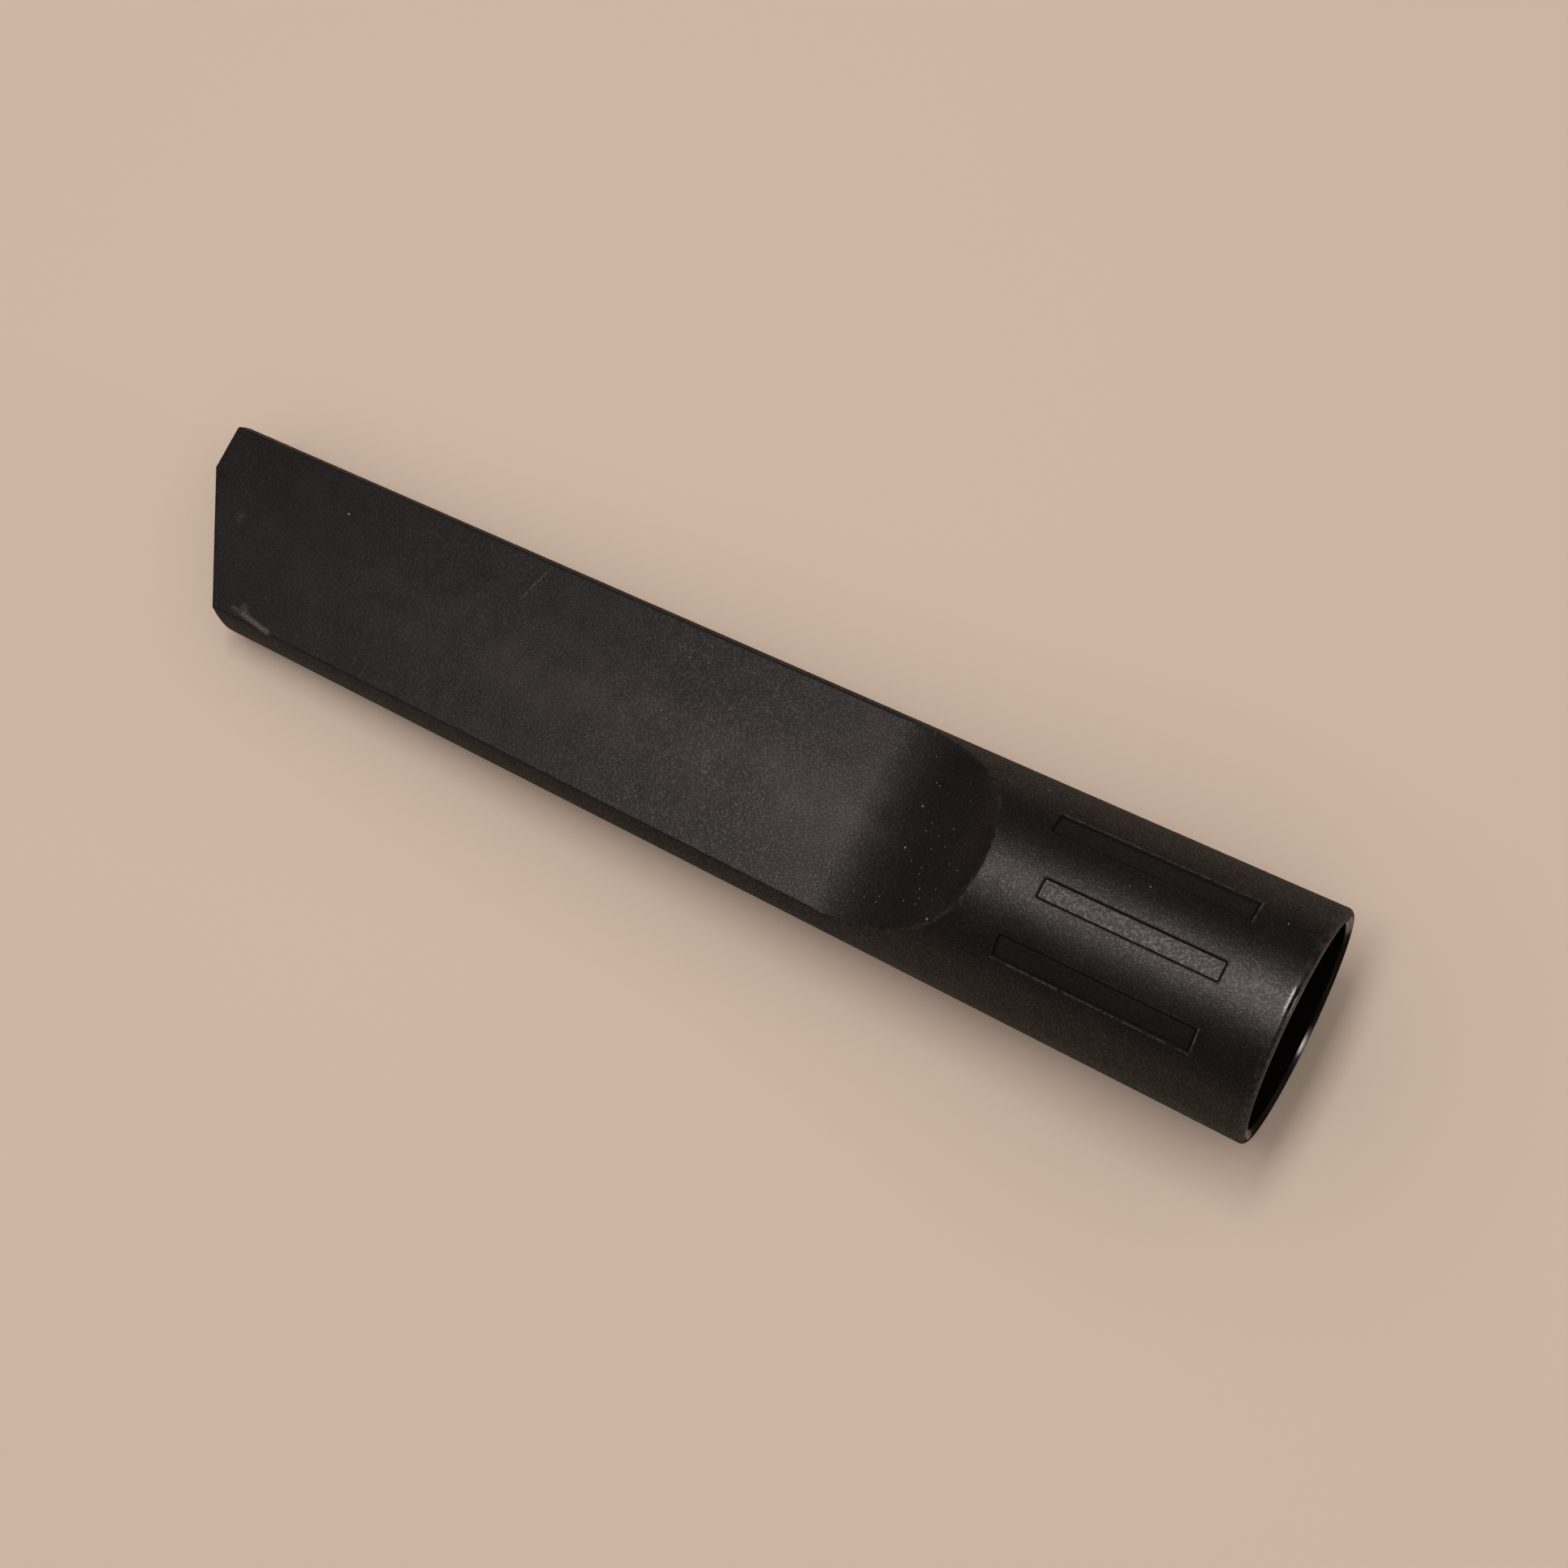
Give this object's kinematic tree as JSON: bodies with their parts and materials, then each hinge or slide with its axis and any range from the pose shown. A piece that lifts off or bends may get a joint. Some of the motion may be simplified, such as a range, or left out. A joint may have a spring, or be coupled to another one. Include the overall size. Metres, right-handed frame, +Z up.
{
  "type": "vacuum crevice nozzle",
  "caption": "One-piece hollow crevice nozzle: a round socket for a vacuum tube flattens through hollow ramps into a tapering blade with a slanted open nose; sunk grip fields on the socket.",
  "frame": {"origin": "centre of the socket's mouth, on the bore's axis", "axes": "+Z up from the surface the nozzle lies on; +X along the nozzle from mouth to nose, so that the bore's axis leans 4.5 degrees down towards the nose; the slanted side of the nose is on +Y"},
  "size_m": [0.2114, 0.04, 0.043],
  "materials": {
    "black_plastic": "fine moulded grain, matte black, polished bore"
  },
  "bodies": {
    "root": {"nozzle_body": "black_plastic"}
  },
  "joints": []
}
